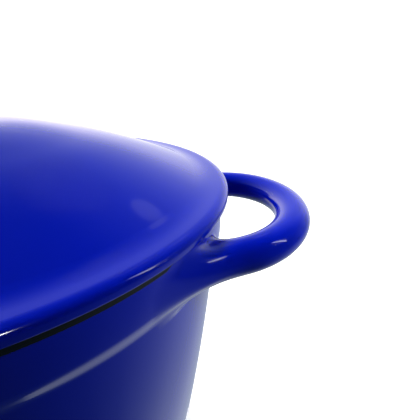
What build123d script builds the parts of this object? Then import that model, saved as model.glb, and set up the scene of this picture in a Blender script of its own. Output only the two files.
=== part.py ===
"""Round covered casserole in enamelled cast iron: a deep pot with two cast loop handles, a domed lid
that lifts off, and a knob that screws down on the lid. Millimetres, +Z up, handles along X."""

import os
from math import hypot

from build123d import *

# ---- Driving dimensions -------------------------------------------------------------------------
LID_RADIUS = 130.0  # outer edge of the lid
POT_HEIGHT = 150.0  # table to the flat seat that the lid rests on
LID_RISE = 34.0  # seat to the flat crown of the lid
IRON_WALL = 4.2  # finished wall of the pot, enamel included
IRON_BASE = 5.0  # finished floor of the pot
LID_WALL = 4.2  # finished wall of the lid, measured upright
ENAMEL = 0.5  # coat of enamel on the inside and the rims

# Pot wall: its radius falls away from the rim by a straight taper and a slight bow.
WALL_TOP_RADIUS = 125.7
WALL_TAPER = 0.067
WALL_BOW = 0.000423
BASE_CORNER = 22.0
FOOT_INNER_RADIUS = 60.0
FOOT_RECESS = 0.8

# Collar: the thicker band round the mouth that carries the handles.
COLLAR_RADIUS = 126.4
COLLAR_BULGE = 0.3
COLLAR_DEPTH = 17.4  # seat to the bottom of the full collar
COLLAR_FADE = 8.0  # height of the slope from the collar back to the wall
RIM_RADIUS = 126.0  # outer edge of the black rim
RIM_ROUND = 0.6
RIM_BAND = 5.0  # height of black rim enamel outside the mouth
RIM_BAND_INSIDE = 3.5  # and inside it

# Loop handles: an oval bar bent to half an ellipse, with straight roots that run into the collar.
HANDLE_REACH = 164.6  # centreline, from the pot's axis
HANDLE_CHORD = 123.0  # plane where the half ellipse meets the roots
HANDLE_HALF_SPAN = 48.9
HANDLE_HALF_WIDTH = 8.9
HANDLE_HALF_HEIGHT = 7.9
HANDLE_ROOT_DROP = 17.4  # centreline below the seat at the chord
HANDLE_TIP_DROP = 14.4  # and at the tip
# Root sections: distance back from the chord, shift outwards and upwards, half width, half height.
ROOT_FLARE = (
    (0.0, 0.0, 0.0, HANDLE_HALF_WIDTH, HANDLE_HALF_HEIGHT),
    (6.0, 0.8, 2.2, 10.2, 7.2),
    (12.0, 2.8, 4.6, 13.2, 6.5),
    (19.0, 6.0, 6.2, 18.5, 6.0),
)

# Lid edge, flange and locating rib.
EDGE_ROUND = 0.8
LIP_WIDTH = 2.8  # blue lip that comes down to the seat just outside the rim
SHOULDER_WIDTH = 4.5  # rounded shoulder between the edge and the flange
SHOULDER_DROP = 2.7
CREASE_ROUND = 24.0
FLANGE_HEIGHT = 4.6  # seat to the flat band round the lid's edge
FLANGE_INNER_RADIUS = 118.3
CROWN_RADIUS = 15.0  # flat spot under the knob
DOME_MIDDLE = (60.0, 25.4)  # radius and height above the seat, half way up the dome
DOME_EDGE_SLOPE = 0.41
RIB_RADIUS = 120.3
RIB_WIDTH = 4.4
RIB_DEPTH = 5.0

# Knob and its fastening: an M6 screw up through the crown into a brass insert.
SCREW_RADIUS = 3.0
THREAD_CLEARANCE = 0.05
HOLE_RADIUS = 3.4
SCREW_REACH = 23.0  # crown to the end of the screw
SCREW_HEAD_RADIUS = 5.6
SCREW_HEAD_HEIGHT = 3.6
SCREW_HEAD_ROUND = 1.2
SCREW_TIP_CHAMFER = 0.6
SCREW_SLOT_WIDTH = 1.6
SCREW_SLOT_DEPTH = 1.8
WASHER_RADIUS = 8.5
WASHER_HEIGHT = 1.2
LOCK_WASHER_RADIUS = 5.4
LOCK_WASHER_HEIGHT = 1.5
LOCK_WASHER_GAP = 1.4
GASKET_RADIUS = 12.5
GASKET_HEIGHT = 1.0
FERRULE_HEIGHT = 9.0
FERRULE_BASE_RADIUS = 13.5
FERRULE_LIP = 1.5
FERRULE_NECK_RADIUS = 9.4
FERRULE_TOP_RADIUS = 11.6
KNOB_RADIUS = 20.0
KNOB_HEIGHT = 23.0
KNOB_WIDEST_HEIGHT = 15.2  # its foot to its widest point
KNOB_NECK_RADIUS = 11.6
KNOB_NECK_FLARE = 0.1  # outward slope of its side at the foot
INSERT_RADIUS = 5.0
INSERT_HEIGHT = 16.0
INSERT_GROOVE = 0.6
INSERT_GROOVE_BAND = (5.4, 8.0)  # its lower and upper edge above the insert's foot
THREAD_DEPTH = 14.5

# ---- Heights worked out from them ---------------------------------------------------------------
COLLAR_BOTTOM_Z = POT_HEIGHT - COLLAR_DEPTH
WALL_START_Z = COLLAR_BOTTOM_Z - COLLAR_FADE
BAND_Z = POT_HEIGHT - RIM_BAND
INNER_BAND_Z = POT_HEIGHT - RIM_BAND_INSIDE
IRON_RIM_Z = POT_HEIGHT - ENAMEL
IRON_FLOOR_Z = IRON_BASE - ENAMEL
IRON_INSET = IRON_WALL - ENAMEL  # from the outer wall to the iron under the lining
INNER_CORNER = BASE_CORNER - IRON_INSET
HANDLE_Z = POT_HEIGHT - HANDLE_ROOT_DROP
HANDLE_RUN = HANDLE_REACH - HANDLE_CHORD
HANDLE_LIFT = HANDLE_ROOT_DROP - HANDLE_TIP_DROP
FLANGE_Z = POT_HEIGHT + FLANGE_HEIGHT
CROWN_Z = POT_HEIGHT + LID_RISE
CROWN_UNDER_Z = CROWN_Z - LID_WALL
IRON_SEAT_Z = POT_HEIGHT + ENAMEL
LIP_RADIUS = LID_RADIUS - LIP_WIDTH
RIB_INNER_RADIUS = RIB_RADIUS - RIB_WIDTH
RIB_Z = POT_HEIGHT - RIB_DEPTH
IRON_RIB_Z = RIB_Z + ENAMEL
FERRULE_Z = CROWN_Z + GASKET_HEIGHT
KNOB_Z = FERRULE_Z + FERRULE_HEIGHT
LOCK_WASHER_Z = CROWN_UNDER_Z - WASHER_HEIGHT - LOCK_WASHER_HEIGHT
SCREW_HEAD_Z = LOCK_WASHER_Z - SCREW_HEAD_HEIGHT
SCREW_END_Z = CROWN_Z + SCREW_REACH


def wall_radius(z, inset=0.0):
    """Radius of the pot's outer wall at height z, less an inset."""
    drop = POT_HEIGHT - z
    return WALL_TOP_RADIUS - WALL_TAPER * drop - WALL_BOW * drop**2 - inset


def wall_curve(z_from, z_to, inset):
    """Parabola that the pot's wall follows from one height to another."""
    middle = (z_from + z_to) / 2
    slope = WALL_TAPER + 2 * WALL_BOW * (POT_HEIGHT - z_from)
    return Bezier(
        (wall_radius(z_from, inset), z_from),
        (wall_radius(z_from, inset) + slope * (middle - z_from), middle),
        (wall_radius(z_to, inset), z_to),
    )


def dome_curve(drop):
    """Curve of the dome from the crown's flat to the flange, lowered by drop."""
    radius, height = DOME_MIDDLE
    return Spline(
        (CROWN_RADIUS, CROWN_Z - drop),
        (radius, POT_HEIGHT + height - drop),
        (FLANGE_INNER_RADIUS, FLANGE_Z - drop),
        tangents=((1, 0), (1, -DOME_EDGE_SLOPE)),
    )


def round_corner(sketch, r, z, radius):
    """Rounds the corner of the sketch nearest to radius r and height z."""
    corner = sketch.vertices().sort_by_distance(Vector(r, z))[0]
    fillet(corner, radius)


def lid_hollow(depth, radius):
    """Half section of the space under the lid, a depth below its outside and out to a radius."""
    with BuildSketch(Plane.XZ) as hollow:
        with BuildLine():
            roof = dome_curve(depth)
            Polyline(
                roof @ 1,
                (FLANGE_INNER_RADIUS, IRON_RIB_Z),
                (0, IRON_RIB_Z),
                (0, CROWN_Z - depth),
                roof @ 0,
            )
        make_face()
        with Locations((0, IRON_RIB_Z)):
            Rectangle(radius, LID_RISE + RIB_DEPTH, align=(Align.MIN, Align.MIN), mode=Mode.INTERSECT)
    return hollow.sketch


def insert_section():
    """Half section of the brass insert, with the groove that the knob's plastic fills."""
    groove_z, groove_end_z = (KNOB_Z + height for height in INSERT_GROOVE_BAND)
    with BuildSketch(Plane.XZ) as section:
        with BuildLine():
            Polyline(
                (0, KNOB_Z),
                (INSERT_RADIUS, KNOB_Z),
                (INSERT_RADIUS, groove_z),
                (INSERT_RADIUS - INSERT_GROOVE, groove_z),
                (INSERT_RADIUS - INSERT_GROOVE, groove_end_z),
                (INSERT_RADIUS, groove_end_z),
                (INSERT_RADIUS, KNOB_Z + INSERT_HEIGHT),
                (0, KNOB_Z + INSERT_HEIGHT),
                close=True,
            )
        make_face()
    return section.sketch


def flat_ring(radius, z):
    """Outline at height z of a flat ring with the screw's clearance hole."""
    with BuildSketch(Plane.XY.offset(z)) as ring:
        Circle(radius)
        Circle(HOLE_RADIUS, mode=Mode.SUBTRACT)
    return ring.sketch


def finish(part, name):
    """Labels a finished piece and writes its STEP file."""
    part.part.label = name
    export_step(part.part, f"parts/{name}.step")


os.makedirs("parts", exist_ok=True)

# ---- Pot: one iron casting with both handles ----------------------------------------------------
with BuildPart() as pot_casting:
    with BuildSketch(Plane.XZ) as pot_profile:
        with BuildLine():
            foot = Polyline(
                (0, FOOT_RECESS),
                (FOOT_INNER_RADIUS - FOOT_RECESS, FOOT_RECESS),
                (FOOT_INNER_RADIUS, 0),
                (wall_radius(0), 0),
            )
            wall = wall_curve(0, WALL_START_Z, 0)
            fade = Spline(wall @ 1, (COLLAR_RADIUS, COLLAR_BOTTOM_Z), tangents=(wall % 1, (0, 1)))
            collar = ThreePointArc(
                fade @ 1,
                (COLLAR_RADIUS + COLLAR_BULGE, (COLLAR_BOTTOM_Z + BAND_Z) / 2),
                (RIM_RADIUS, BAND_Z),
            )
            Polyline(
                collar @ 1,
                (RIM_RADIUS - ENAMEL, BAND_Z),
                (RIM_RADIUS - ENAMEL, IRON_RIM_Z),
                (0, IRON_RIM_Z),
                foot @ 0,
            )
        make_face()
        round_corner(pot_profile, wall_radius(0), 0, BASE_CORNER)
    revolve(axis=Axis.Z)

    # Each handle is a bent bar between two flared roots.
    for side in (1, -1):
        handle_plane = Plane(
            origin=(side * HANDLE_CHORD, 0, HANDLE_Z),
            x_dir=(side * HANDLE_RUN, 0, HANDLE_LIFT),
            z_dir=(-side * HANDLE_LIFT, 0, HANDLE_RUN),
        )
        with BuildLine(handle_plane) as handle_path:
            EllipticalCenterArc(
                (0, 0), hypot(HANDLE_RUN, HANDLE_LIFT), HANDLE_HALF_SPAN, start_angle=-90, arc_size=180
            )
        bar_start = handle_path.edge()
        with BuildSketch(Plane(origin=bar_start @ 0, x_dir=(0, 1, 0), z_dir=bar_start % 0)):
            Ellipse(HANDLE_HALF_WIDTH, HANDLE_HALF_HEIGHT)
        sweep()
        for end in (1, -1):
            for back, spread, rise, half_width, half_height in ROOT_FLARE:
                root_centre = (
                    side * (HANDLE_CHORD - back),
                    end * (HANDLE_HALF_SPAN + spread),
                    HANDLE_Z + rise,
                )
                root_plane = Plane(
                    origin=root_centre, x_dir=(0, 1, 0), z_dir=(side * HANDLE_RUN, 0, HANDLE_LIFT)
                )
                with BuildSketch(root_plane):
                    Ellipse(half_width, half_height)
            loft()
    with BuildSketch(Plane.XZ) as pot_hollow:
        with BuildLine():
            hollow = wall_curve(POT_HEIGHT, IRON_FLOOR_Z, IRON_INSET)
            Polyline(hollow @ 1, (0, IRON_FLOOR_Z), (0, POT_HEIGHT), hollow @ 0)
        make_face()
        round_corner(pot_hollow, wall_radius(IRON_FLOOR_Z, IRON_INSET), IRON_FLOOR_Z, INNER_CORNER)
    revolve(axis=Axis.Z, mode=Mode.SUBTRACT)
finish(pot_casting, "pot_casting")

# ---- Pot enamel: the pale lining and the black band that wraps the mouth ------------------------
with BuildPart() as pot_interior_enamel:
    with BuildSketch(Plane.XZ) as lining_profile:
        with BuildLine():
            back = wall_curve(INNER_BAND_Z, IRON_FLOOR_Z, IRON_INSET)
            front = wall_curve(INNER_BAND_Z, IRON_BASE, IRON_WALL)
            Line(back @ 0, front @ 0)
            Polyline(back @ 1, (0, IRON_FLOOR_Z), (0, IRON_BASE), front @ 1)
        make_face()
        round_corner(lining_profile, wall_radius(IRON_FLOOR_Z, IRON_INSET), IRON_FLOOR_Z, INNER_CORNER)
        round_corner(lining_profile, wall_radius(IRON_BASE, IRON_WALL), IRON_BASE, INNER_CORNER - ENAMEL)
    revolve(axis=Axis.Z)
finish(pot_interior_enamel, "pot_interior_enamel")

with BuildPart() as pot_rim_enamel:
    with BuildSketch(Plane.XZ) as rim_profile:
        with BuildLine():
            iron_side = wall_curve(IRON_RIM_Z, INNER_BAND_Z, IRON_INSET)
            mouth_side = wall_curve(POT_HEIGHT, INNER_BAND_Z, IRON_WALL)
            Line(iron_side @ 1, mouth_side @ 1)
            Polyline(
                mouth_side @ 0,
                (RIM_RADIUS, POT_HEIGHT),
                (RIM_RADIUS, BAND_Z),
                (RIM_RADIUS - ENAMEL, BAND_Z),
                (RIM_RADIUS - ENAMEL, IRON_RIM_Z),
                iron_side @ 0,
            )
        make_face()
        round_corner(rim_profile, RIM_RADIUS, POT_HEIGHT, RIM_ROUND)
    revolve(axis=Axis.Z)
finish(pot_rim_enamel, "pot_rim_enamel")

# ---- Lid: domed iron casting with a locating rib under its flange -------------------------------
with BuildPart() as lid_casting:
    with BuildSketch(Plane.XZ) as lid_profile:
        with BuildLine():
            dome = dome_curve(0)
            flange = Line(dome @ 1, (LID_RADIUS - SHOULDER_WIDTH, FLANGE_Z))
            shoulder = TangentArc(flange @ 1, (LID_RADIUS, FLANGE_Z - SHOULDER_DROP), tangent=(1, 0))
            Polyline(
                shoulder @ 1,
                (LID_RADIUS, POT_HEIGHT),
                (LIP_RADIUS, POT_HEIGHT),
                (LIP_RADIUS, IRON_SEAT_Z),
                (RIB_RADIUS - ENAMEL, IRON_SEAT_Z),
                (RIB_RADIUS - ENAMEL, IRON_RIB_Z),
                (0, IRON_RIB_Z),
                (0, CROWN_Z),
                dome @ 0,
            )
        make_face()
        round_corner(lid_profile, FLANGE_INNER_RADIUS, FLANGE_Z, CREASE_ROUND)
        round_corner(lid_profile, LID_RADIUS, POT_HEIGHT, EDGE_ROUND)
    revolve(axis=Axis.Z)
    revolve(lid_hollow(LID_WALL - ENAMEL, RIB_INNER_RADIUS + ENAMEL), axis=Axis.Z, mode=Mode.SUBTRACT)
    with BuildSketch(Plane.XY.offset(CROWN_Z)):
        Circle(HOLE_RADIUS)
    extrude(amount=-LID_RISE, mode=Mode.SUBTRACT)
finish(lid_casting, "lid_casting")

with BuildPart() as lid_interior_enamel:
    revolve(lid_hollow(LID_WALL - ENAMEL, RIB_INNER_RADIUS + ENAMEL), axis=Axis.Z)
    revolve(lid_hollow(LID_WALL, RIB_INNER_RADIUS), axis=Axis.Z, mode=Mode.SUBTRACT)
    with BuildSketch(Plane.XY.offset(CROWN_Z)):
        Circle(HOLE_RADIUS)
    extrude(amount=-LID_RISE, mode=Mode.SUBTRACT)
finish(lid_interior_enamel, "lid_interior_enamel")

with BuildPart() as lid_rim_enamel:
    with BuildSketch(Plane.XZ):
        with BuildLine():
            Polyline(
                (LIP_RADIUS, IRON_SEAT_Z),
                (LIP_RADIUS, POT_HEIGHT),
                (RIB_RADIUS, POT_HEIGHT),
                (RIB_RADIUS, RIB_Z),
                (RIB_INNER_RADIUS, RIB_Z),
                (RIB_INNER_RADIUS, IRON_RIB_Z),
                (RIB_RADIUS - ENAMEL, IRON_RIB_Z),
                (RIB_RADIUS - ENAMEL, IRON_SEAT_Z),
                close=True,
            )
        make_face()
    revolve(axis=Axis.Z)
finish(lid_rim_enamel, "lid_rim_enamel")

# ---- Knob fastening, from the screw head up -----------------------------------------------------
with BuildPart() as knob_screw:
    with BuildSketch(Plane.XZ) as screw_profile:
        with BuildLine():
            Polyline(
                (0, SCREW_HEAD_Z),
                (SCREW_HEAD_RADIUS, SCREW_HEAD_Z),
                (SCREW_HEAD_RADIUS, LOCK_WASHER_Z),
                (SCREW_RADIUS, LOCK_WASHER_Z),
                (SCREW_RADIUS, SCREW_END_Z),
                (0, SCREW_END_Z),
                close=True,
            )
        make_face()
        round_corner(screw_profile, SCREW_HEAD_RADIUS, SCREW_HEAD_Z, SCREW_HEAD_ROUND)
        tip = screw_profile.vertices().sort_by_distance(Vector(SCREW_RADIUS, SCREW_END_Z))[0]
        chamfer(tip, SCREW_TIP_CHAMFER)
    revolve(axis=Axis.Z)
    with BuildSketch(Plane.XY.offset(SCREW_HEAD_Z)):
        Rectangle(2 * SCREW_HEAD_RADIUS, SCREW_SLOT_WIDTH)
    extrude(amount=SCREW_SLOT_DEPTH, mode=Mode.SUBTRACT)
finish(knob_screw, "knob_screw")

with BuildPart() as lock_washer:
    with BuildSketch(Plane.XY.offset(LOCK_WASHER_Z)):
        Circle(LOCK_WASHER_RADIUS)
        Circle(HOLE_RADIUS, mode=Mode.SUBTRACT)
        Rectangle(
            LOCK_WASHER_RADIUS, LOCK_WASHER_GAP, align=(Align.MIN, Align.CENTER), mode=Mode.SUBTRACT
        )
    extrude(amount=LOCK_WASHER_HEIGHT)
finish(lock_washer, "lock_washer")

with BuildPart() as screw_washer:
    extrude(flat_ring(WASHER_RADIUS, CROWN_UNDER_Z), amount=-WASHER_HEIGHT)
finish(screw_washer, "screw_washer")

with BuildPart() as ferrule_gasket:
    extrude(flat_ring(GASKET_RADIUS, CROWN_Z), amount=GASKET_HEIGHT)
finish(ferrule_gasket, "ferrule_gasket")

with BuildPart() as knob_ferrule:
    with BuildSketch(Plane.XZ):
        with BuildLine():
            lip_z = FERRULE_Z + FERRULE_LIP
            waist = ThreePointArc(
                (FERRULE_BASE_RADIUS - FERRULE_LIP, lip_z),
                (FERRULE_NECK_RADIUS, (lip_z + KNOB_Z) / 2),
                (FERRULE_TOP_RADIUS, KNOB_Z),
            )
            Polyline(
                waist @ 1,
                (HOLE_RADIUS, KNOB_Z),
                (HOLE_RADIUS, FERRULE_Z),
                (FERRULE_BASE_RADIUS, FERRULE_Z),
                (FERRULE_BASE_RADIUS, lip_z),
                waist @ 0,
            )
        make_face()
    revolve(axis=Axis.Z)
finish(knob_ferrule, "knob_ferrule")

with BuildPart() as knob_insert:
    revolve(insert_section(), axis=Axis.Z)
    with BuildSketch(Plane.XY.offset(KNOB_Z)):
        Circle(SCREW_RADIUS + THREAD_CLEARANCE)
    extrude(amount=THREAD_DEPTH, mode=Mode.SUBTRACT)
finish(knob_insert, "knob_insert")

with BuildPart() as lid_knob:
    with BuildSketch(Plane.XZ):
        with BuildLine():
            widest = (KNOB_RADIUS, KNOB_Z + KNOB_WIDEST_HEIGHT)
            side = Spline((KNOB_NECK_RADIUS, KNOB_Z), widest, tangents=((KNOB_NECK_FLARE, 1), (0, 1)))
            crown = Spline(widest, (0, KNOB_Z + KNOB_HEIGHT), tangents=((0, 1), (-1, 0)))
            Polyline(crown @ 1, (0, KNOB_Z), side @ 0)
        make_face()
    revolve(axis=Axis.Z)
    revolve(insert_section(), axis=Axis.Z, mode=Mode.SUBTRACT)
finish(lid_knob, "lid_knob")
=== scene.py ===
"""Looks of a round covered casserole in enamelled cast iron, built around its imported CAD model.

Every glossy piece is remodelled finely enough for clean reflections: the pot with its two cast loop
handles, the enamel coats, the domed lid, and the knob with its fastening. Sizes are in millimetres.
"""

import logging
from dataclasses import dataclass, field
from enum import Enum
from math import ceil, cos, pi, radians, sin, sqrt, tan, tau

import bmesh
import bpy
from mathutils import Matrix, Vector


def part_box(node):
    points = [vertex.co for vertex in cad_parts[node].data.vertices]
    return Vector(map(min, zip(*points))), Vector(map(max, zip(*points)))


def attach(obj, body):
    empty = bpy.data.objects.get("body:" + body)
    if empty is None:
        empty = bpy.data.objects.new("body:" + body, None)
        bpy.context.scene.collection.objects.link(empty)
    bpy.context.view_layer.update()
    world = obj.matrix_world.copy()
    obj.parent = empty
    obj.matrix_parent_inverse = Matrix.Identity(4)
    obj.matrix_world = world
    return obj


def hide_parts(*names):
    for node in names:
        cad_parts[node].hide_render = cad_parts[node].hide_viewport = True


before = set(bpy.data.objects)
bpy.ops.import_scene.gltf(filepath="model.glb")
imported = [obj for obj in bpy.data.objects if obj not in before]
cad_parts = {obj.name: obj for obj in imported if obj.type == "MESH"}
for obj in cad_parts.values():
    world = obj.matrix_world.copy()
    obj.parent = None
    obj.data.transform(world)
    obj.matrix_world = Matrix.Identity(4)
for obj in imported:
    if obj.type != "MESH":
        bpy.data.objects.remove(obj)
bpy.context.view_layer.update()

MM = 0.001
MERGE = 1e-6
TURN_STEPS = 288
SMALL_TURN_STEPS = 96
LOG = logging.getLogger("casserole")


class Body(Enum):
    """Rigid bodies of the CAD model that pieces ride on."""

    POT = "pot"
    LID = "lid"
    FERRULE = "ferrule"
    KNOB = "knob"


# ---- Finishes -----------------------------------------------------------------------------------
def linear(colour: str) -> tuple[float, float, float, float]:
    """Turns an sRGB hex colour such as "#1020a0" to linear red, green, blue and alpha.

    Args:
        colour: Six hex digits after a hash sign.

    Returns:
        Linear components with an alpha of 1.
    """
    channels = [int(colour[i : i + 2], 16) / 255 for i in (1, 3, 5)]
    bent = [c / 12.92 if c <= 0.04045 else ((c + 0.055) / 1.055) ** 2.4 for c in channels]
    return (*bent, 1.0)


def add_node(tree: bpy.types.NodeTree, kind: str, settings: dict, links: dict) -> bpy.types.Node:
    """Adds a node to a tree, with its settings and its links.

    Args:
        tree: Node tree of a material or the world.
        kind: Blender's identifier of the node.
        settings: Values by input name or number, or by the node's own property.
        links: Output sockets by the input name or number that they feed.

    Returns:
        The new node.
    """
    node = tree.nodes.new(kind)
    for key, value in settings.items():
        if isinstance(key, int) or key in node.inputs:
            node.inputs[key].default_value = value
        else:
            setattr(node, key, value)
    for key, source in links.items():
        tree.links.new(source, node.inputs[key])
    return node


@dataclass(frozen=True)
class Finish:
    """A surface finish: a colour that drifts softly over the piece, its gloss and its fine relief.

    Attributes:
        name: Name of the material.
        slot: Material slot of the record that it stands for; not used.
        colour: Main sRGB colour.
        drift: Second sRGB colour that the main one drifts to.
        drift_mm: Size of the patches of colour and gloss.
        roughness: Lowest and highest roughness over the piece.
        relief_mm: Size of the surface's ripple or grain.
        relief_depth_mm: Height of that relief.
        ior: Refractive index.
        metallic: 1 for bare metal.
        stretch: How closely the relief is packed along X, Y and Z.
    """

    name: str
    slot: str
    colour: str
    drift: str
    drift_mm: float
    roughness: tuple[float, float]
    relief_mm: float
    relief_depth_mm: float
    ior: float = 1.5
    metallic: float = 0.0
    stretch: tuple[float, float, float] = (1.0, 1.0, 1.0)

    def material(self) -> bpy.types.Material:
        """Builds the finish as a Blender material.

        Returns:
            The material, or the one already built under that name.
        """
        if self.name in bpy.data.materials:
            return bpy.data.materials[self.name]
        made = bpy.data.materials.new(self.name)
        made.use_nodes = True
        tree = made.node_tree
        tree.nodes.clear()
        place = add_node(tree, "ShaderNodeTexCoord", {}, {}).outputs["Object"]
        patches = add_node(
            tree,
            "ShaderNodeTexNoise",
            {"Scale": 1 / (self.drift_mm * MM), "Detail": 3.0},
            {"Vector": place},
        )
        colour = add_node(
            tree,
            "ShaderNodeMix",
            {"data_type": "RGBA", 6: linear(self.colour), 7: linear(self.drift)},
            {0: patches.outputs["Fac"]},
        )
        low, high = self.roughness
        gloss = add_node(
            tree,
            "ShaderNodeMapRange",
            {"From Min": 0.35, "From Max": 0.65, "To Min": low, "To Max": high},
            {"Value": patches.outputs["Fac"]},
        )
        packed = add_node(tree, "ShaderNodeMapping", {"Scale": self.stretch}, {"Vector": place})
        relief = add_node(
            tree,
            "ShaderNodeTexNoise",
            {"Scale": 1 / (self.relief_mm * MM), "Detail": 2.0},
            {"Vector": packed.outputs["Vector"]},
        )
        bump = add_node(
            tree,
            "ShaderNodeBump",
            {"Strength": 1.0, "Distance": self.relief_depth_mm * MM},
            {"Height": relief.outputs["Fac"]},
        )
        shader = add_node(
            tree,
            "ShaderNodeBsdfPrincipled",
            {"Metallic": self.metallic, "IOR": self.ior},
            {
                "Base Color": colour.outputs[2],
                "Roughness": gloss.outputs["Result"],
                "Normal": bump.outputs["Normal"],
            },
        )
        add_node(tree, "ShaderNodeOutputMaterial", {}, {"Surface": shader.outputs["BSDF"]})
        return made


# Cobalt glass enamel, sprayed and fired: deep blue, a little thinner in places, mirror gloss, with
# the long shallow ripple that molten glass sets in.
BLUE_ENAMEL = Finish(
    "cobalt_vitreous_enamel", "blue_enamelled_iron", "#02139e", "#021192", 55.0, (0.06, 0.1), 16.0, 0.02
)
# Ground-coat enamel on the seats, fired without a gloss coat: dull, faintly grainy black.
BLACK_ENAMEL = Finish(
    "matte_black_ground_coat", "black_enamel", "#0a0c0b", "#121413", 20.0, (0.38, 0.55), 0.9, 0.03
)
# Titania-white enamel tinted to cream, thick and glossy inside the pot.
CREAM_ENAMEL = Finish(
    "cream_lining_enamel", "lining_enamel", "#e6dcc4", "#dfd2b6", 40.0, (0.08, 0.14), 12.0, 0.02
)
# Compression-moulded phenolic: black, satin from the tool, slightly mottled by its filler.
PHENOLIC = Finish(
    "black_phenolic_moulding", "black_phenolic", "#0d0d0e", "#161617", 6.0, (0.16, 0.26), 0.6, 0.006
)
# Stainless steel, turned: fine rings across the axis that widen the highlight.
STAINLESS = Finish(
    "turned_stainless_steel",
    "stainless_steel",
    "#b9b7b3",
    "#a9a7a4",
    9.0,
    (0.18, 0.3),
    1.2,
    0.004,
    metallic=1.0,
    stretch=(0.2, 0.2, 6.0),
)
# Free-machining brass, turned.
BRASS = Finish(
    "turned_brass", "insert_brass", "#c9a257", "#b88f45", 5.0, (0.2, 0.32), 0.8, 0.004, metallic=1.0
)
# Moulded silicone rubber: dull black with a faint bloom.
SILICONE = Finish(
    "black_silicone_rubber", "gasket_rubber", "#1a1a1b", "#242425", 4.0, (0.55, 0.7), 0.5, 0.01, ior=1.43
)


# ---- Shapes -------------------------------------------------------------------------------------
def bezier(a: Vector, b: Vector, c: Vector, d: Vector, count: int) -> list[Vector]:
    """Works out points of a cubic curve.

    Args:
        a: Start.
        b: Control point of the start.
        c: Control point of the end.
        d: End.
        count: How many points, ends included.

    Returns:
        The points, evenly spaced in the curve's own parameter.
    """
    points = []
    for i in range(count):
        t = i / (count - 1)
        s = 1 - t
        points.append(a * s**3 + b * (3 * s * s * t) + c * (3 * s * t * t) + d * t**3)
    return points


@dataclass
class Outline:
    """Half section of a turned piece, drawn corner by corner as (radius, height, rounding)."""

    corners: list[tuple[float, float, float]] = field(default_factory=list)
    arc_step: float = radians(6)

    def to(self, radius: float, height: float, rounding: float = 0.0) -> "Outline":
        """Goes on to a corner, rounded if rounding isn't 0, and returns the outline."""
        self.corners.append((radius, height, rounding))
        return self

    def along(self, points: list[Vector]) -> "Outline":
        """Goes on along the points of a curve and returns the outline."""
        self.corners.extend((point.x, point.y, 0.0) for point in points)
        return self

    def points(self) -> list[Vector]:
        """Works out the half section with its rounded corners.

        Returns:
            Its points, as (radius, height) in millimetres.
        """
        flat = [Vector((r, z)) for r, z, _ in self.corners]
        result = []
        for i, (here, (_, _, rounding)) in enumerate(zip(flat, self.corners)):
            if rounding == 0.0:
                result.append(here)
                continue
            to_last = (flat[i - 1] - here).normalized()
            to_next = (flat[(i + 1) % len(flat)] - here).normalized()
            half = to_last.angle(to_next) / 2
            centre = here + (to_last + to_next).normalized() * (rounding / sin(half))
            first = here + to_last * (rounding / tan(half)) - centre
            last = here + to_next * (rounding / tan(half)) - centre
            count = ceil((pi - 2 * half) / self.arc_step) + 1
            for k in range(count + 1):
                result.append(centre + first.slerp(last, k / count).normalized() * rounding)
        return result


def turn(outline: Outline, steps: int = TURN_STEPS) -> bmesh.types.BMesh:
    """Turns a half section into a closed solid about the Z axis.

    Args:
        outline: Half section. Where an end of it is off the axis, it is joined up into a ring.
        steps: Facets in a full turn.

    Returns:
        The solid's mesh, in metres.
    """
    bm = bmesh.new()
    verts = [bm.verts.new((p.x * MM, 0.0, p.y * MM)) for p in outline.points()]
    pairs = list(zip(verts, verts[1:]))
    if max(verts[0].co.x, verts[-1].co.x) > MERGE:
        pairs.append((verts[-1], verts[0]))
    edges = [bm.edges.new(pair) for pair in pairs]
    bmesh.ops.spin(
        bm, geom=verts + edges, cent=(0, 0, 0), axis=(0, 0, 1), angle=tau, steps=steps, use_merge=True
    )
    bmesh.ops.remove_doubles(bm, verts=bm.verts, dist=MERGE)
    bmesh.ops.recalc_face_normals(bm, faces=bm.faces)
    return bm


def loft(rings: list[list[Vector]]) -> bmesh.types.BMesh:
    """Bridges rings of points into one closed solid.

    Args:
        rings: Rings of as many points each, in millimetres. The first and the last close to a point.

    Returns:
        The solid's mesh, in metres.
    """
    bm = bmesh.new()
    last: list[bmesh.types.BMEdge] = []
    for ring in rings:
        verts = [bm.verts.new(point * MM) for point in ring]
        loop = [bm.edges.new(pair) for pair in zip(verts, verts[1:] + verts[:1])]
        if last:
            bmesh.ops.bridge_loops(bm, edges=last + loop)
        last = loop
    bmesh.ops.remove_doubles(bm, verts=bm.verts, dist=MERGE)
    bmesh.ops.recalc_face_normals(bm, faces=bm.faces)
    return bm


def to_object(bm: bmesh.types.BMesh, name: str) -> bpy.types.Object:
    """Frees a mesh into a new object of the scene.

    Args:
        bm: The mesh, in metres.
        name: Name of the object.

    Returns:
        The object.
    """
    mesh = bpy.data.meshes.new(name)
    bm.to_mesh(mesh)
    bm.free()
    made = bpy.data.objects.new(name, mesh)
    bpy.context.scene.collection.objects.link(made)
    return made


def combined(base: bpy.types.Object, other: bpy.types.Object, operation: str) -> bpy.types.Object:
    """Applies a Boolean of two solids to the first one and removes the second.

    Args:
        base: Solid that is changed.
        other: Solid that is added or taken away.
        operation: "UNION" or "DIFFERENCE".

    Returns:
        The first object.
    """
    cut = base.modifiers.new(operation.lower(), "BOOLEAN")
    cut.operation = operation
    cut.solver = "EXACT"
    cut.object = other
    result = bpy.data.meshes.new_from_object(base.evaluated_get(bpy.context.evaluated_depsgraph_get()))
    base.modifiers.remove(cut)
    base.data = result
    bpy.data.objects.remove(other)
    return base


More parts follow.
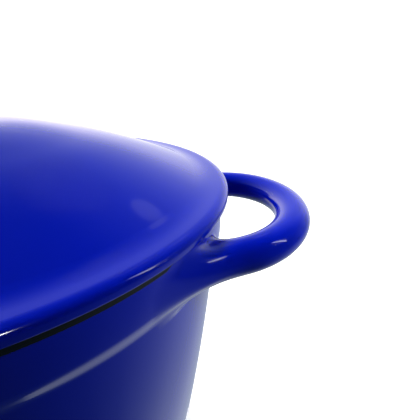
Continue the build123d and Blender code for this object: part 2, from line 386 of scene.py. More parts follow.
def fit(piece: bpy.types.Object, finish: Finish, body: Body, *nodes: str, sharp: float = 32.0) -> None:
    """Finishes a piece and ties it to the frame.

    Args:
        piece: The piece, in place.
        finish: What it is finished in.
        body: Body that it rides on.
        nodes: CAD nodes that it stands for.
        sharp: Angle in degrees above which an edge stays sharp.
    """
    piece.data.shade_smooth()
    piece.data.set_sharp_from_angle(angle=radians(sharp))
    piece.data.materials.clear()
    piece.data.materials.append(finish.material())
    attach(piece, body.value)
    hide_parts(*nodes)
    LOG.info("%s: %d faces of %s", piece.name, len(piece.data.polygons), finish.name)


def height_of(node: str, corner: int) -> float:
    """Lowest (0) or highest (1) point of a CAD node, in millimetres."""
    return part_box(node)[corner].z / MM


def radius_of(node: str) -> float:
    """Largest radius of a turned CAD node, in millimetres."""
    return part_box(node)[1].x / MM


# ---- Pot ----------------------------------------------------------------------------------------
@dataclass
class Pot:
    """The iron pot: foot, bowed wall, collar, two loop handles, cream lining and black rim.

    The wall's radius falls away from the seat by a straight taper and a slight bow. Each handle is an
    oval bar on half an ellipse, and its roots spread over the wall outwards, inwards, up and down.
    """

    seat: float = height_of("pot_rim_enamel", 1)
    top_radius: float = 125.7
    taper: float = 0.067
    bow: float = 0.000423
    wall: float = 4.2
    base: float = 5.0
    enamel: float = 0.5
    base_corner: float = 22.0
    foot_radius: float = 60.0
    foot_recess: float = 0.8
    foot_slope: float = 1.0
    foot_rounds: tuple[float, float] = (0.4, 0.2)
    collar_radius: float = 126.4
    collar_bulge: float = 0.3
    collar_depth: float = 17.4
    collar_fade: float = 8.0
    collar_ease: float = 0.25
    rim_radius: float = radius_of("pot_rim_enamel")
    rim_band: float = 5.0
    rim_band_inside: float = 3.5
    rim_round: float = 0.6
    handle_chord: float = 123.0
    handle_reach: float = 164.6
    handle_half_span: float = 48.9
    handle_half_width: float = 8.9
    handle_half_height: float = 7.9
    handle_root_drop: float = 17.4
    handle_tip_drop: float = 14.4
    bar_step: float = 1e-3
    root_angle: float = 1.36
    root_ease: float = 0.62
    root_sink: float = 0.1
    root_plug: float = 1.6
    root_lift: float = 5.0
    spread_out: float = 24.0
    spread_in: float = 5.0
    spread_up: float = 3.4
    spread_down: float = 2.5
    wall_points: int = 28
    curve_points: int = 14
    bar_sides: int = 72
    bar_rings: int = 56
    root_points: int = 16
    root_tries: int = 12

    def wall_radius(self, z: float, inset: float = 0.0) -> float:
        """Radius of the outer wall at a height, less an inset."""
        drop = self.seat - z
        return self.top_radius - self.taper * drop - self.bow * drop**2 - inset

    def wall_line(self, start: float, end: float, inset: float) -> list[Vector]:
        """Points along the wall from one height to another, less an inset."""
        heights = [start + (end - start) * i / (self.wall_points - 1) for i in range(self.wall_points)]
        return [Vector((self.wall_radius(z, inset), z)) for z in heights]

    def collar_line(self) -> list[Vector]:
        """Works out the outside from the wall to the black rim.

        Returns:
            Points up the slope under the collar, then up the collar's faint bulge.
        """
        low = self.seat - self.collar_depth
        start = Vector((self.wall_radius(low - self.collar_fade), low - self.collar_fade))
        shoulder = Vector((self.collar_radius, low))
        rise = Vector((0.0, self.collar_fade * self.collar_ease))
        slope = bezier(start, start + rise, shoulder - rise, shoulder, self.curve_points)
        top = Vector((self.rim_radius, self.seat - self.rim_band))
        third = (top - shoulder) / 3
        lean = Vector((self.collar_bulge * 4 / 3, 0.0))
        bulge = bezier(shoulder, shoulder + third + lean, top - third + lean, top, self.curve_points)
        return slope + bulge[1:]

    def on_wall(self, y: float, z: float, sink: float = 0.0) -> Vector:
        """Finds the point of the pot's outside, at +X, that has this y and z.

        Args:
            y: Place across the handle.
            z: Height.
            sink: How far under the surface the point lies.

        Returns:
            The point in millimetres.
        """
        line = self.collar_line()
        radius = self.wall_radius(z) if z <= line[0].y else self.rim_radius
        for below, above in zip(line, line[1:]):
            if below.y < z <= above.y:
                radius = below.x + (above.x - below.x) * (z - below.y) / (above.y - below.y)
        return Vector((sqrt((radius - sink) ** 2 - y**2), y, z))

    def bar_centre(self, angle: float) -> Vector:
        """Finds the centre of the handle's bar.

        Args:
            angle: 0 at the tip of the loop, a quarter turn at its chord.

        Returns:
            The centre in millimetres.
        """
        out = self.handle_chord + (self.handle_reach - self.handle_chord) * cos(angle)
        rise = (self.handle_root_drop - self.handle_tip_drop) * cos(angle)
        return Vector((out, self.handle_half_span * sin(angle), self.seat - self.handle_root_drop + rise))

    def bar_way(self, angle: float) -> Vector:
        """Direction in which the bar runs at an angle of the loop."""
        last, coming = angle - self.bar_step, angle + self.bar_step
        return (self.bar_centre(coming) - self.bar_centre(last)).normalized()

    def bar_ring(self, angle: float) -> list[Vector]:
        """Works out the bar's oval section.

        Args:
            angle: Place along the loop.

        Returns:
            Points round the section, outwards first, then upwards.
        """
        run = self.handle_reach - self.handle_chord
        up = Vector((self.handle_tip_drop - self.handle_root_drop, 0.0, run)).normalized()
        out = self.bar_way(angle).cross(up)
        ring = []
        for i in range(self.bar_sides):
            turned = tau * i / self.bar_sides
            across = out * (self.handle_half_width * cos(turned))
            ring.append(self.bar_centre(angle) + across + up * (self.handle_half_height * sin(turned)))
        return ring

    def root_spread(self, turned: float) -> float:
        """Works out how far a root spreads over the wall.

        Args:
            turned: Angle round the bar, 0 outwards and a quarter turn upwards.

        Returns:
            The spread in millimetres.
        """
        across = self.spread_out if cos(turned) > 0 else self.spread_in
        upright = self.spread_up if sin(turned) > 0 else self.spread_down
        return across * cos(turned) ** 2 + upright * sin(turned) ** 2

    def root_rings(self) -> list[list[Vector]]:
        """Works out the flared root at +Y, from the bar to just under the wall's surface.

        Returns:
            Rings of points. The first is the bar's own ring there, and the last is buried.
        """
        back = self.bar_way(self.root_angle)
        flanks = []
        for i, start in enumerate(self.bar_ring(self.root_angle)):
            turned = tau * i / self.bar_sides
            corner = start.copy()
            for _ in range(self.root_tries):
                corner += back * ((corner.x - self.on_wall(corner.y, corner.z).x) / -back.x)
            lifted = self.on_wall(corner.y, corner.z + self.root_lift * (1 - sin(turned)) / 2)
            slant = (cos(turned) / self.handle_half_width, sin(turned) / self.handle_half_height)
            away = Vector((0.0, *slant)).normalized()
            spread = self.root_spread(turned)
            mark = lifted + away * spread
            near = lifted + away * (spread - self.bar_step)
            foot = self.on_wall(mark.y, mark.z, self.root_sink)
            slope = (foot - self.on_wall(near.y, near.z, self.root_sink)).normalized()
            ease = (lifted - foot).length * self.root_ease
            lean = start.lerp(corner, self.root_ease)
            flanks.append(bezier(start, lean, foot - slope * ease, foot, self.root_points))
        rings = [list(points) for points in zip(*flanks)]
        middle = sum(rings[-1], Vector()) / self.bar_sides
        rings.append([middle - Vector((self.root_plug, 0.0, 0.0))] * self.bar_sides)
        return rings

    def handles(self) -> bmesh.types.BMesh:
        """Lofts one closed loop with its two roots, and turns a copy to the other side.

        Returns:
            Both handles, in metres.
        """
        root = self.root_rings()
        mirrored = [[Vector((p.x, -p.y, p.z)) for p in ring] for ring in root]
        angles = [self.root_angle * (2 * i / self.bar_rings - 1) for i in range(1, self.bar_rings)]
        bm = loft(mirrored[::-1] + [self.bar_ring(angle) for angle in angles] + root)
        bmesh.ops.spin(
            bm, geom=bm.faces, cent=(0, 0, 0), axis=(0, 0, 1), angle=pi, steps=1, use_duplicate=True
        )
        return bm

    def casting(self) -> bmesh.types.BMesh:
        """Turns the iron body with its blue outside.

        Returns:
            The body without its handles.
        """
        iron = self.wall - self.enamel
        rim = self.rim_radius - self.enamel
        floor = self.base - self.enamel
        recess_round, foot_round = self.foot_rounds
        outline = Outline().to(0.0, self.foot_recess)
        outline.to(self.foot_radius - self.foot_slope, self.foot_recess, recess_round)
        outline.to(self.foot_radius, 0.0, foot_round).to(self.wall_radius(0.0), 0.0, self.base_corner)
        outline.along(self.wall_line(self.base_corner, self.collar_line()[0].y, 0.0))
        outline.along(self.collar_line()[1:])
        outline.to(rim, self.seat - self.rim_band).to(rim, self.seat - self.enamel)
        outline.along(self.wall_line(self.seat - self.enamel, self.base_corner, iron))
        outline.to(self.wall_radius(floor, iron), floor, self.base_corner - iron).to(0.0, floor)
        return turn(outline)

    def lining(self) -> bmesh.types.BMesh:
        """Turns the cream coat of the inside.

        Returns:
            The coat.
        """
        iron = self.wall - self.enamel
        floor = self.base - self.enamel
        top = self.seat - self.rim_band_inside
        outline = Outline().to(0.0, floor)
        outline.to(self.wall_radius(floor, iron), floor, self.base_corner - iron)
        outline.along(self.wall_line(self.base_corner, top, iron))
        outline.along(self.wall_line(top, self.base_corner, self.wall))
        outline.to(self.wall_radius(self.base, self.wall), self.base, self.base_corner - self.wall)
        return turn(outline.to(0.0, self.base))

    def rim_coat(self) -> bmesh.types.BMesh:
        """Turns the black coat that wraps the mouth.

        Returns:
            The coat.
        """
        iron_top = self.seat - self.enamel
        inner_low = self.seat - self.rim_band_inside
        outer_low = self.seat - self.rim_band
        rim = self.rim_radius - self.enamel
        outline = Outline().to(self.wall_radius(self.seat, self.wall), self.seat, self.rim_round)
        outline.to(self.rim_radius, self.seat, self.rim_round).to(self.rim_radius, outer_low)
        outline.to(rim, outer_low).to(rim, iron_top)
        outline.to(self.wall_radius(iron_top, self.wall - self.enamel), iron_top)
        outline.to(self.wall_radius(inner_low, self.wall - self.enamel), inner_low)
        return turn(outline.to(self.wall_radius(inner_low, self.wall), inner_low))

    def build(self) -> None:
        """Makes and dresses the pot's three pieces."""
        body = combined(to_object(self.casting(), "pot_body"), to_object(self.handles(), "loops"), "UNION")
        fit(body, BLUE_ENAMEL, Body.POT, "pot_casting")
        fit(to_object(self.lining(), "pot_lining"), CREAM_ENAMEL, Body.POT, "pot_interior_enamel")
        fit(to_object(self.rim_coat(), "pot_rim_coat"), BLACK_ENAMEL, Body.POT, "pot_rim_enamel")


# ---- Lid ----------------------------------------------------------------------------------------
@dataclass
class Lid:
    """The domed iron lid: blue outside, cream inside, black seat with its locating rib.

    The dome is an S from the flat crown through dome_middle, a radius and a height above the seat, to
    the flange. The shoulder rounds the flange off into the edge, whose lip hangs just outside the pot.
    """

    rib_depth: float = 5.0
    seat: float = height_of("lid_rim_enamel", 0) + rib_depth
    crown: float = height_of("lid_casting", 1)
    radius: float = radius_of("lid_casting")
    wall: float = 4.2
    enamel: float = 0.5
    edge_round: float = 0.8
    lip_width: float = 2.8
    lip_drop: float = 0.3
    lip_round: float = 0.3
    shoulder_width: float = 4.5
    shoulder_drop: float = 2.7
    shoulder_ease: tuple[float, float] = (0.52, 0.6)
    shoulder_lean: float = 0.25
    crease_round: float = 24.0
    flange_height: float = 4.6
    flange_inner: float = 118.3
    crown_radius: float = 15.0
    dome_middle: tuple[float, float] = (60.0, 25.4)
    dome_middle_slope: float = -0.262
    dome_edge_slope: float = -0.41
    rib_radius: float = 120.3
    rib_width: float = 4.4
    rib_round: float = 0.8
    seat_rounds: tuple[float, float, float] = (0.3, 0.6, 0.3)
    lining_gap: float = 1.0
    lining_drop: float = 0.4
    lining_round: float = 1.2
    hole_radius: float = 3.4
    curve_points: int = 40

    def dome_line(self, drop: float = 0.0) -> list[Vector]:
        """Works out the dome from its flat crown to the flange.

        Args:
            drop: How far the line is lowered.

        Returns:
            Points down the dome.
        """
        crown = Vector((self.crown_radius, self.crown - drop))
        middle = Vector((self.dome_middle[0], self.seat + self.dome_middle[1] - drop))
        edge = Vector((self.flange_inner, self.seat + self.flange_height - drop))
        points = []
        for start, end, slopes in (
            (crown, middle, (0.0, self.dome_middle_slope)),
            (middle, edge, (self.dome_middle_slope, self.dome_edge_slope)),
        ):
            third = (end.x - start.x) / 3
            leave = start + Vector((third, third * slopes[0]))
            arrive = end - Vector((third, third * slopes[1]))
            points += bezier(start, leave, arrive, end, self.curve_points)[:-1]
        return points + [edge]

    def casting(self) -> bmesh.types.BMesh:
        """Turns the iron lid with its blue outside.

        Returns:
            The lid, open under the dome.
        """
        flange = self.seat + self.flange_height
        iron_seat = self.seat + self.enamel
        rib_low = self.seat - self.rib_depth + self.enamel
        rib_out = self.rib_radius - self.enamel
        rib_in = self.rib_radius - self.rib_width + self.enamel
        outline = Outline().to(self.hole_radius, self.crown).along(self.dome_line()[:-1])
        outline.to(self.flange_inner, flange, self.crease_round)
        shoulder = Vector((self.radius - self.shoulder_width, flange))
        edge = Vector((self.radius, flange - self.shoulder_drop))
        ease_out, ease_up = self.shoulder_ease
        out = Vector((self.shoulder_width * ease_out, 0.0))
        up = Vector((-self.shoulder_lean, self.shoulder_drop * ease_up))
        outline.along(bezier(shoulder, shoulder + out, edge + up, edge, self.curve_points // 2))
        lip = self.seat - self.lip_drop
        lip_in = self.radius - self.lip_width
        outline.to(self.radius, lip, self.edge_round).to(lip_in, lip, self.lip_round)
        outline.to(lip_in, iron_seat).to(rib_out, iron_seat)
        outline.to(rib_out, rib_low).to(rib_in, rib_low)
        hollow = [p for p in self.dome_line(self.wall - self.enamel) if p.x < rib_in]
        outline.to(rib_in, hollow[-1].y).along(hollow[::-1])
        return turn(outline.to(self.hole_radius, hollow[0].y))

    def lining(self) -> bmesh.types.BMesh:
        """Turns the cream coat under the dome.

        Returns:
            The coat.
        """
        rib_in = self.rib_radius - self.rib_width
        rib_low = self.seat - self.rib_depth + self.enamel
        back = [p for p in self.dome_line(self.wall - self.enamel) if p.x < rib_in + self.enamel]
        front = [p for p in self.dome_line(self.wall) if p.x < rib_in - self.lining_gap]
        outline = Outline().to(self.hole_radius, back[0].y).along(back)
        outline.to(rib_in + self.enamel, back[-1].y).to(rib_in + self.enamel, rib_low)
        outline.to(rib_in, rib_low)
        outline.to(rib_in, front[-1].y - self.lining_drop, self.lining_round).along(front[::-1])
        return turn(outline.to(self.hole_radius, front[0].y))

    def seat_coat(self) -> bmesh.types.BMesh:
        """Turns the black coat of the seat and the locating rib.

        Returns:
            The coat.
        """
        iron_seat = self.seat + self.enamel
        low = self.seat - self.rib_depth
        edge = self.radius - self.lip_width
        rib_in = self.rib_radius - self.rib_width
        edge_round, crease_round, rib_in_round = self.seat_rounds
        outline = Outline().to(edge, iron_seat).to(edge, self.seat, edge_round)
        outline.to(self.rib_radius, self.seat, crease_round).to(self.rib_radius, low, self.rib_round)
        outline.to(rib_in, low, rib_in_round).to(rib_in, low + self.enamel)
        inner = self.rib_radius - self.enamel
        return turn(outline.to(inner, low + self.enamel).to(inner, iron_seat))

    def build(self) -> None:
        """Makes and dresses the lid's three pieces."""
        fit(to_object(self.casting(), "lid_shell"), BLUE_ENAMEL, Body.LID, "lid_casting")
        fit(to_object(self.lining(), "lid_lining"), CREAM_ENAMEL, Body.LID, "lid_interior_enamel")
        fit(to_object(self.seat_coat(), "lid_seat_coat"), BLACK_ENAMEL, Body.LID, "lid_rim_enamel")


# ---- Knob and its fastening ---------------------------------------------------------------------
@dataclass
class Fastening:
    """The knob, its steel ferrule, and the screw and washers that hold it to the lid.

    The knob's side leaves its neck along knob_flare, and knob_belly, knob_shoulder and knob_crown say
    how long it runs upright below and above its widest point and level at its top. The thread's crest
    and foot are shares of the pitch.
    """

    hole_radius: float = 3.4
    gasket_round: float = 0.4
    washer_round: float = 0.25
    lip: float = 1.5
    lip_rounds: tuple[float, float] = (0.3, 0.5)
    neck_radius: float = 9.4
    ferrule_top: float = 11.6
    knob_neck: float = 11.6
    knob_widest_height: float = 15.2
    knob_flare: tuple[float, float] = (0.6, 7.6)
    knob_belly: float = 5.8
    knob_shoulder: float = 4.2
    knob_crown: float = 11.5
    bore_radius: float = 3.05
    bore_depth: float = 14.5
    groove: float = 0.6
    groove_band: tuple[float, float] = (5.4, 8.0)
    screw_radius: float = 3.0
    thread_pitch: float = 1.0
    thread_depth: float = 0.55
    thread_crest: tuple[float, float] = (0.42, 0.55)
    thread_foot: float = 0.97
    thread_steps: int = 48
    thread_gap: float = 0.2
    thread_end: float = 0.6
    neck_taper: float = 0.4
    head_height: float = 3.6
    head_round: float = 1.2
    slot_width: float = 1.6
    slot_depth: float = 1.8
    washer_gap: float = 1.4

    def ring(self, node: str, rounding: float) -> bmesh.types.BMesh:
        """Turns a flat ring to a CAD node's size, with softened outer edges.

        Args:
            node: The CAD node.
            rounding: Radius of its outer edges.

        Returns:
            The ring.
        """
        low, high, radius = height_of(node, 0), height_of(node, 1), radius_of(node)
        outline = Outline().to(self.hole_radius, low).to(radius, low, rounding)
        return turn(outline.to(radius, high, rounding).to(self.hole_radius, high), SMALL_TURN_STEPS)

    def ferrule(self) -> bmesh.types.BMesh:
        """Turns the waisted steel ferrule.

        Returns:
            The ferrule.
        """
        low, high = height_of("knob_ferrule", 0), height_of("knob_ferrule", 1)
        radius = radius_of("knob_ferrule")
        start = Vector((radius - self.lip, low + self.lip))
        end = Vector((self.ferrule_top, high))
        pull = (self.neck_radius - (start.x + end.x) / 2) * 4 / 3
        third = (end - start) / 3
        lean = Vector((pull, 0.0))
        foot_round, lip_round = self.lip_rounds
        outline = Outline().to(self.hole_radius, low).to(radius, low, foot_round)
        outline.to(radius, low + self.lip, lip_round)
        outline.along(bezier(start, start + third + lean, end - third + lean, end, 24))
        return turn(outline.to(self.hole_radius, high), TURN_STEPS // 2)

    def insert_line(self, low: float) -> list[Vector]:
        """Works out the brass insert's outside, with the groove that the knob's plastic fills.

        Args:
            low: Height of the insert's foot.

        Returns:
            Its corners from the foot to the middle of the top.
        """
        radius, high = radius_of("knob_insert"), height_of("knob_insert", 1)
        groove_low, groove_high = (low + height for height in self.groove_band)
        sides = ((radius, low), (radius, groove_low), (radius - self.groove, groove_low))
        tops = ((radius - self.groove, groove_high), (radius, groove_high), (radius, high), (0.0, high))
        return [Vector(corner) for corner in sides + tops]

    def knob(self) -> bmesh.types.BMesh:
        """Turns the phenolic knob, hollow for its insert.

        Returns:
            The knob.
        """
        low, high, radius = height_of("lid_knob", 0), height_of("lid_knob", 1), radius_of("lid_knob")
        foot = Vector((self.knob_neck, low))
        widest = Vector((radius, low + self.knob_widest_height))
        top = Vector((0.0, high))
        flare, crown = Vector(self.knob_flare), Vector((self.knob_crown, 0.0))
        belly, shoulder = Vector((0.0, self.knob_belly)), Vector((0.0, self.knob_shoulder))
        side = bezier(foot, foot + flare, widest - belly, widest, 28)
        over = bezier(widest, widest + shoulder, top + crown, top, 32)
        outline = Outline().along(self.insert_line(low)[::-1]).along(side).along(over[1:])
        return turn(outline, TURN_STEPS // 2)

    def insert(self) -> bmesh.types.BMesh:
        """Turns the brass insert with its blind bore.

        Returns:
            The insert.
        """
        low = height_of("knob_insert", 0)
        outline = Outline().along(self.insert_line(low)).to(0.0, low + self.bore_depth)
        return turn(outline.to(self.bore_radius, low + self.bore_depth).to(self.bore_radius, low), 64)

    def thread(self, low: float, high: float) -> bmesh.types.BMesh:
        """Winds the screw's thread and closes its ends.

        Args:
            low: Height where it starts.
            high: Height where it ends.

        Returns:
            The thread with its core.
        """
        turns = ceil((high - low) / self.thread_pitch) + 2
        start = low - self.thread_pitch
        root = self.screw_radius - self.thread_depth
        crest_low, crest_high = self.thread_crest
        corners = (
            (root, 0.0),
            (self.screw_radius, crest_low),
            (self.screw_radius, crest_high),
            (root, self.thread_foot),
            (root, 1.0),
        )
        bm = bmesh.new()
        verts = [bm.verts.new((r * MM, 0.0, (start + self.thread_pitch * up) * MM)) for r, up in corners]
        edges = [bm.edges.new(pair) for pair in zip(verts, verts[1:])]
        bmesh.ops.spin(
            bm,
            geom=verts + edges,
            cent=(0, 0, 0),
            axis=(0, 0, 1),
            dvec=(0, 0, self.thread_pitch * MM / self.thread_steps),
            angle=tau * turns,
            steps=self.thread_steps * turns,
        )
        bmesh.ops.remove_doubles(bm, verts=bm.verts, dist=MERGE)
        for height, upwards in ((low, -1.0), (high, 1.0)):
            cut = bmesh.ops.bisect_plane(
                bm,
                geom=bm.verts[:] + bm.edges[:] + bm.faces[:],
                dist=MERGE / 10,
                plane_co=(0, 0, height * MM),
                plane_no=(0, 0, upwards),
                clear_outer=True,
            )
            rim = [e for e in cut["geom_cut"] if isinstance(e, bmesh.types.BMEdge)]
            bmesh.ops.holes_fill(bm, edges=rim)
        bmesh.ops.recalc_face_normals(bm, faces=bm.faces)
        return bm

    def screw(self) -> bpy.types.Object:
        """Makes the slotted screw: pan head, plain neck, thread and tip.

        Returns:
            The screw.
        """
        low, high = height_of("knob_screw", 0), height_of("knob_screw", 1)
        radius = radius_of("knob_screw")
        head_top = low + self.head_height
        neck_top = height_of("knob_ferrule", 0)
        root = self.screw_radius - self.thread_depth
        outline = Outline().to(0.0, low).to(radius, low, self.head_round).to(radius, head_top)
        outline.to(self.screw_radius, head_top).to(self.screw_radius, neck_top)
        outline.to(root, neck_top + self.neck_taper)
        made = to_object(turn(outline.to(root, high).to(0.0, high), SMALL_TURN_STEPS), "slotted_screw")
        thread = to_object(self.thread(neck_top + self.thread_gap, high - self.thread_end), "thread")
        made = combined(made, thread, "UNION")
        cutter = bmesh.new()
        bmesh.ops.create_cube(cutter, size=1.0)
        size = Vector((3 * radius, self.slot_width, 2 * self.slot_depth)) * MM
        bmesh.ops.scale(cutter, vec=size, verts=cutter.verts)
        bmesh.ops.translate(cutter, vec=(0, 0, low * MM), verts=cutter.verts)
        return combined(made, to_object(cutter, "slot_cutter"), "DIFFERENCE")

    def spring_washer(self) -> bpy.types.Object:
        """Makes the split spring washer.

        Returns:
            The washer.
        """
        made = to_object(self.ring("lock_washer", self.washer_round), "spring_washer")
        low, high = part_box("lock_washer")
        cutter = bmesh.new()
        bmesh.ops.create_cube(cutter, size=1.0)
        size = Vector((2 * high.x, self.washer_gap * MM, 3 * (high.z - low.z)))
        bmesh.ops.scale(cutter, vec=size, verts=cutter.verts)
        bmesh.ops.translate(cutter, vec=(high.x, 0, (low.z + high.z) / 2), verts=cutter.verts)
        return combined(made, to_object(cutter, "gap_cutter"), "DIFFERENCE")

    def build(self) -> None:
        """Makes and dresses the knob, its ferrule and what holds them."""
        gasket = to_object(self.ring("ferrule_gasket", self.gasket_round), "gasket")
        washer = to_object(self.ring("screw_washer", self.washer_round), "flat_washer")
        fit(gasket, SILICONE, Body.LID, "ferrule_gasket")
        fit(washer, STAINLESS, Body.LID, "screw_washer")
        fit(self.spring_washer(), STAINLESS, Body.LID, "lock_washer")
        fit(self.screw(), STAINLESS, Body.LID, "knob_screw")
        fit(to_object(self.ferrule(), "ferrule"), STAINLESS, Body.FERRULE, "knob_ferrule")
        fit(to_object(self.knob(), "knob"), PHENOLIC, Body.KNOB, "lid_knob")
        fit(to_object(self.insert(), "insert"), BRASS, Body.KNOB, "knob_insert")


# ---- Studio -------------------------------------------------------------------------------------
@dataclass(frozen=True)
class Lamp:
    """A lamp aimed at a point.

    Attributes:
        name: What it is in the studio.
        place: Where it stands, in metres.
        aim: Point that it faces, in metres.
        watts: Its power.
        size: Its width and height in metres.
        mirrored: Whether glossy surfaces show it. The large diffusers are flagged off from them.
        roll: Turn of the lamp about its own beam.
    """

    name: str
    place: tuple[float, float, float]
    aim: tuple[float, float, float]
    watts: float
    size: tuple[float, float]
    mirrored: bool = False
    roll: float = 0.0

    def build(self) -> None:
        """Adds the lamp to the scene."""
        data = bpy.data.lights.new(self.name, "AREA")
        data.shape = "ELLIPSE"
        data.size, data.size_y = self.size
        data.energy = self.watts
        lamp = bpy.data.objects.new(self.name, data)
        bpy.context.scene.collection.objects.link(lamp)
        beam = Vector(self.aim) - Vector(self.place)
        turned = beam.to_track_quat("-Z", "Y").to_matrix() @ Matrix.Rotation(self.roll, 3, "Z")
        lamp.matrix_world = Matrix.Translation(self.place) @ turned.to_4x4()
        lamp.visible_camera = False
        lamp.visible_glossy = self.mirrored
        lamp.visible_diffuse = not self.mirrored


@dataclass
class Studio:
    """White sweep that darkens overhead and behind the camera, soft lamps, and the camera.

    The sweep's brightness goes by the compass, in degrees from +Y towards +X, once for above the
    horizon and once for below, and above also by the sine of the height. Between the two sines of
    horizon, one gives way to the other. Red, green and blue keep the brightness to the powers of
    tint, which turns the dim parts bluish.
    """

    floor_radius: float = 2.0
    floor_gap: float = 0.0001
    camera_place: tuple[float, float, float] = (0.10447, -0.17977, 0.20986)
    camera_way: tuple[float, float, float] = (0.08801, 0.91889, -0.38457)
    lens_mm: float = 30.86
    sensor_mm: float = 36.0
    round_above: tuple[tuple[float, float], ...] = (
        (-180, 0.01), (-120, 0.03), (-90, 0.3), (-60, 1.2), (-40, 1.6), (-20, 1.5), (0, 1.0), (25, 0.96),
        (40, 0.85), (50, 0.42), (62, 0.17), (80, 0.06), (100, 0.015), (180, 0.01),
    )
    round_below: tuple[tuple[float, float], ...] = (
        (-180, 0.025), (-90, 0.03), (-40, 0.15), (0, 0.38), (30, 0.52), (60, 0.42), (80, 0.25),
        (100, 0.11), (120, 0.05), (140, 0.03), (180, 0.025),
    )
    upwards: tuple[tuple[float, float], ...] = (
        (0.0, 1.0), (0.17, 1.0), (0.34, 0.57), (0.5, 0.33), (0.64, 0.18), (0.77, 0.08), (0.87, 0.02),
        (1.0, 0.01),
    )
    horizon: tuple[float, float] = (-0.4, -0.15)
    tint: tuple[float, float, float] = (1.0, 0.85, 0.75)
    strength: float = 1.15
    lamps: tuple[Lamp, ...] = (
        Lamp("overhead_diffuser", (0.05, 1.3, 1.6), (0.05, 0.0, 0.1), 64.0, (0.7, 0.7)),
        Lamp("rear_diffuser", (-0.1, 0.34, 0.3), (0.0, 0.0, 0.14), 2.0, (0.16, 0.16)),
        Lamp("handle_diffuser", (0.31, -0.07, 0.25), (0.16, -0.02, 0.13), 0.46, (0.08, 0.08)),
        Lamp("floor_bounce", (0.45, 0.1, -0.14), (0.1, -0.02, 0.1), 1.3, (0.14, 0.14)),
        Lamp("edge_glint", (0.31, -0.64, 0.94), (-0.02, -0.13, 0.153), 2.2, (0.15, 0.15), True),
        Lamp("handle_streak", (0.945, -0.1, 0.73), (0.15, -0.03, 0.13), 0.6, (0.08, 0.5), True),
        Lamp("dome_glow", (0.34, 0.6, 0.76), (0.02, -0.05, 0.17), 0.01, (0.11, 0.11), True),
    )

    def floor(self) -> None:
        """Lays the pale round floor, lit evenly enough to stay white around the pot."""
        bm = bmesh.new()
        below = Matrix.Translation((0.0, 0.0, -self.floor_gap))
        bmesh.ops.create_circle(bm, cap_ends=True, segments=96, radius=self.floor_radius, matrix=below)
        piece = to_object(bm, "floor")
        made = bpy.data.materials.new("matte_white_floor")
        made.use_nodes = True
        tree = made.node_tree
        tree.nodes.clear()
        shader = add_node(
            tree,
            "ShaderNodeBsdfPrincipled",
            {
                "Base Color": linear("#cfcfcf"),
                "Roughness": 0.9,
                "Emission Color": linear("#ffffff"),
                "Emission Strength": 0.72,
            },
            {},
        )
        add_node(tree, "ShaderNodeOutputMaterial", {}, {"Surface": shader.outputs["BSDF"]})
        piece.data.materials.append(made)
        piece.visible_diffuse = False
        piece.visible_glossy = False
        piece.visible_shadow = False

    def tinted(self, level: float) -> tuple[float, float, float, float]:
        """Colour of the sweep where it has a brightness."""
        return (*(level**power for power in self.tint), 1.0)

    def ramp(
        self, tree: bpy.types.NodeTree, source: bpy.types.NodeSocket, stops: tuple
    ) -> bpy.types.NodeSocket:
        """Reads brightness off a ramp.

        Args:
            tree: The world's node tree.
            source: Value from 0 to 1 along the ramp.
            stops: (place, brightness) pairs in order, the last place being the ramp's end.

        Returns:
            The ramp's colour socket.
        """
        first, last = stops[0][0], stops[-1][0]
        node = add_node(tree, "ShaderNodeValToRGB", {}, {"Fac": source})
        band = node.color_ramp
        band.interpolation = "LINEAR"
        while len(band.elements) < len(stops):
            band.elements.new(1.0)
        for element, (place, level) in zip(band.elements, stops):
            element.position = (place - first) / (last - first)
            element.color = self.tinted(level)
        return node.outputs["Color"]

    def sky(self) -> None:
        """Surrounds the object with the sweep, as a world whose light depends on direction alone."""
        low, high = self.horizon
        world = bpy.data.worlds.new("white_sweep")
        bpy.context.scene.world = world
        world.use_nodes = True
        tree = world.node_tree
        tree.nodes.clear()
        way = add_node(tree, "ShaderNodeTexCoord", {}, {})
        axes = add_node(tree, "ShaderNodeSeparateXYZ", {}, {0: way.outputs["Generated"]})
        compass = add_node(
            tree, "ShaderNodeMath", {"operation": "ARCTAN2"}, {0: axes.outputs["X"], 1: axes.outputs["Y"]}
        )
        share = add_node(
            tree, "ShaderNodeMapRange", {"From Min": -pi, "From Max": pi}, {"Value": compass.outputs[0]}
        )
        rise = add_node(tree, "ShaderNodeMapRange", {}, {"Value": axes.outputs["Z"]})
        above = add_node(
            tree,
            "ShaderNodeMix",
            {"data_type": "RGBA", "blend_type": "MULTIPLY", 0: 1.0},
            {
                6: self.ramp(tree, share.outputs[0], self.round_above),
                7: self.ramp(tree, rise.outputs[0], self.upwards),
            },
        )
        side = add_node(
            tree, "ShaderNodeMapRange", {"From Min": low, "From Max": high}, {"Value": axes.outputs["Z"]}
        )
        whole = add_node(
            tree,
            "ShaderNodeMix",
            {"data_type": "RGBA"},
            {
                0: side.outputs[0],
                6: self.ramp(tree, share.outputs[0], self.round_below),
                7: above.outputs[2],
            },
        )
        back = add_node(
            tree, "ShaderNodeBackground", {"Strength": self.strength}, {"Color": whole.outputs[2]}
        )
        add_node(tree, "ShaderNodeOutputWorld", {}, {"Surface": back.outputs["Background"]})

    def camera(self) -> None:
        """Sets the camera up."""
        data = bpy.data.cameras.new("camera")
        data.lens = self.lens_mm
        data.sensor_width = self.sensor_mm
        data.clip_start = 0.01
        camera = bpy.data.objects.new("camera", data)
        bpy.context.scene.collection.objects.link(camera)
        camera.location = self.camera_place
        camera.rotation_euler = Vector(self.camera_way).to_track_quat("-Z", "Y").to_euler()
        bpy.context.scene.camera = camera

    def build(self) -> None:
        """Sets the whole studio up."""
        self.floor()
        self.sky()
        for lamp in self.lamps:
            lamp.build()
        self.camera()
        bpy.context.scene.view_settings.view_transform = "Standard"


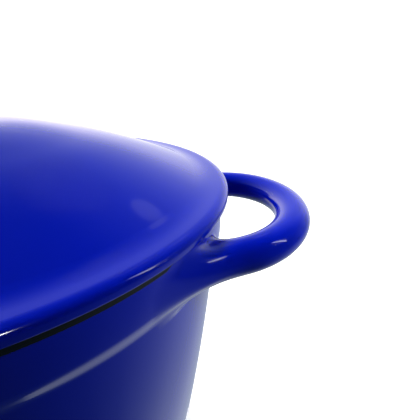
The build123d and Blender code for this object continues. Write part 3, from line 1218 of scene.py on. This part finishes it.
def main() -> None:
    """Builds the object and the studio."""
    logging.basicConfig(level=logging.INFO, format="%(relativeCreated)d ms: %(message)s")
    Pot().build()
    Lid().build()
    Fastening().build()
    Studio().build()


if __name__ == "__main__":
    main()
